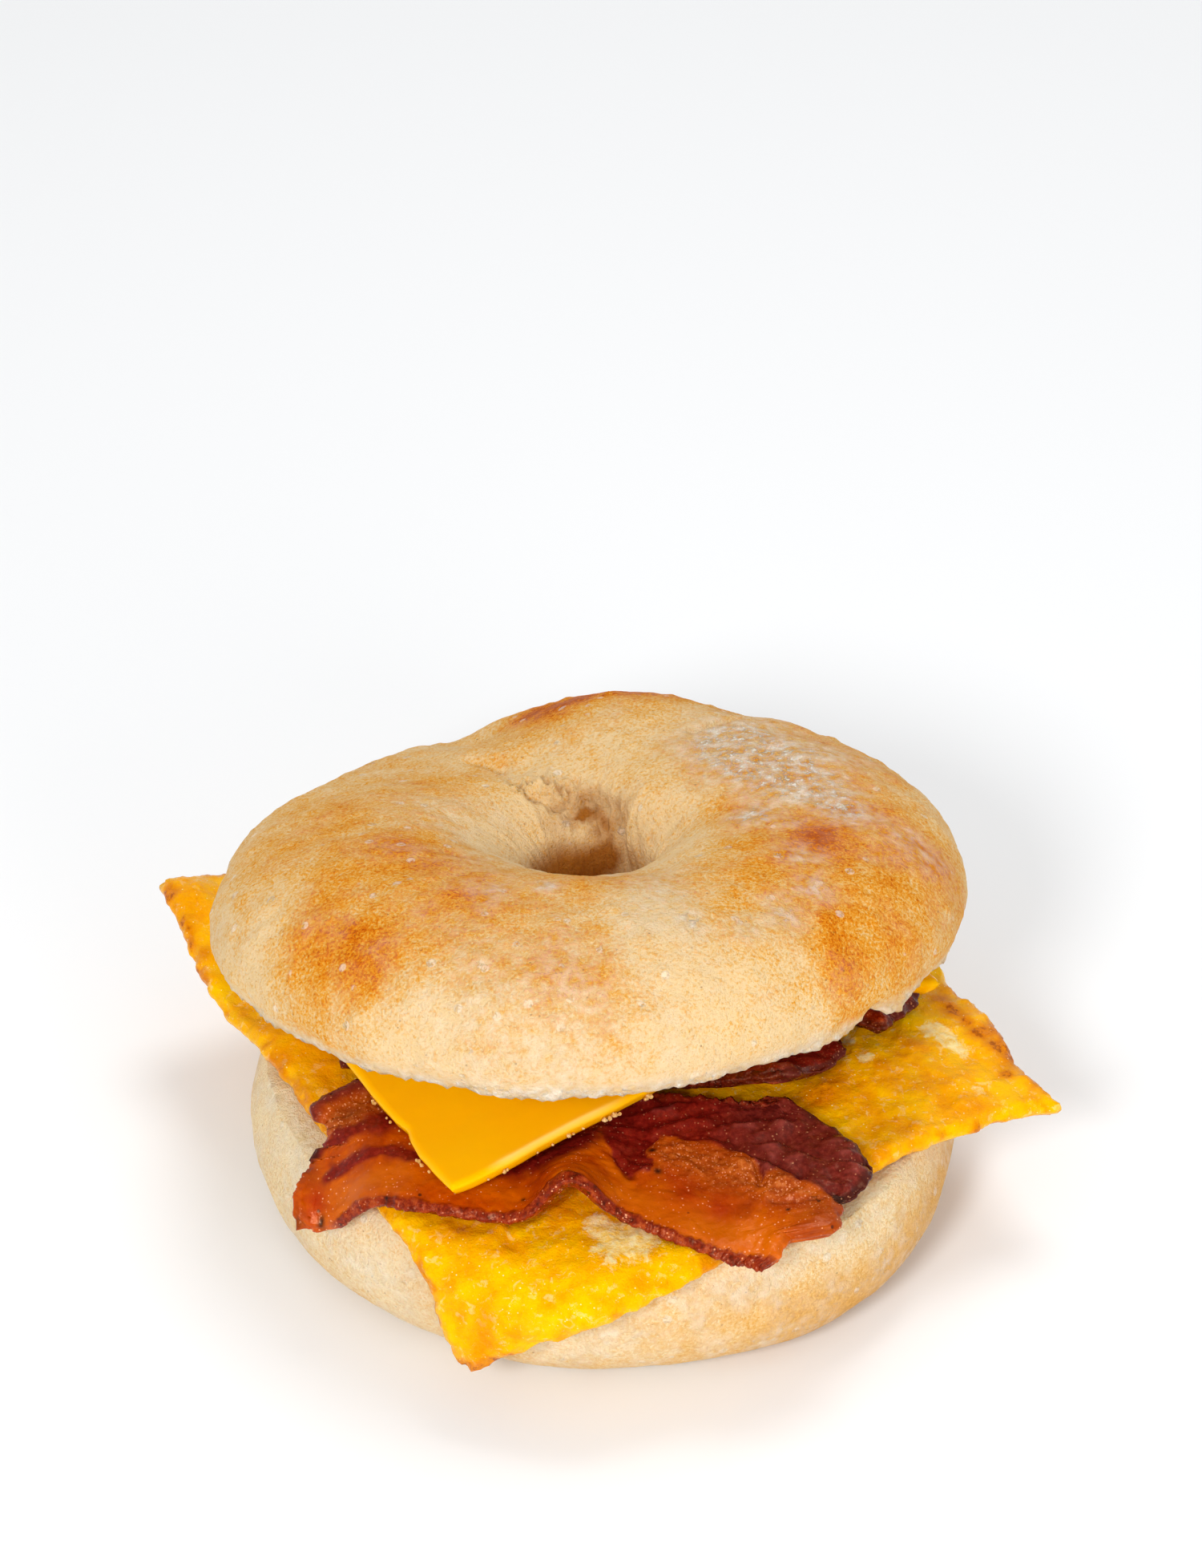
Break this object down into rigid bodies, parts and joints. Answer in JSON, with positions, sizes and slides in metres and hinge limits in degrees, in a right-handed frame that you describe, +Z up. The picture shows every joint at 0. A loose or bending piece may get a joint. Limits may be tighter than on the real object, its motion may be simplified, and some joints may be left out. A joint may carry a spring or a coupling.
{
  "type": "filled bagel",
  "caption": "Bagel cut in two and filled with a sheet of egg, strips of bacon and a slice of cheese, with the upper half tipped back.",
  "frame": {"origin": "middle of the bounding box, at the flat base", "axes": "+Z up out of the base, +Y towards the back edge that the upper half is tipped down to, +X to the right of someone who looks at the raised front edge"},
  "size_m": [0.126, 0.1192, 0.0614],
  "materials": {
    "bread": "pale, soft and matte baked bread",
    "crust": "golden baked crust with toasted patches and a little flour",
    "egg": "moist cooked egg with browned spots",
    "cheese": "smooth, slightly waxy sliced cheese",
    "bacon": "glossy fried bacon with bands of fat and lean"
  },
  "bodies": {
    "root": {"bagel_bottom": "bread", "egg_sheet": "egg", "bacon_front": "bacon", "bacon_middle": "bacon", "bacon_back": "bacon", "cheese_slice": "cheese", "bagel_top": "crust"}
  },
  "joints": []
}
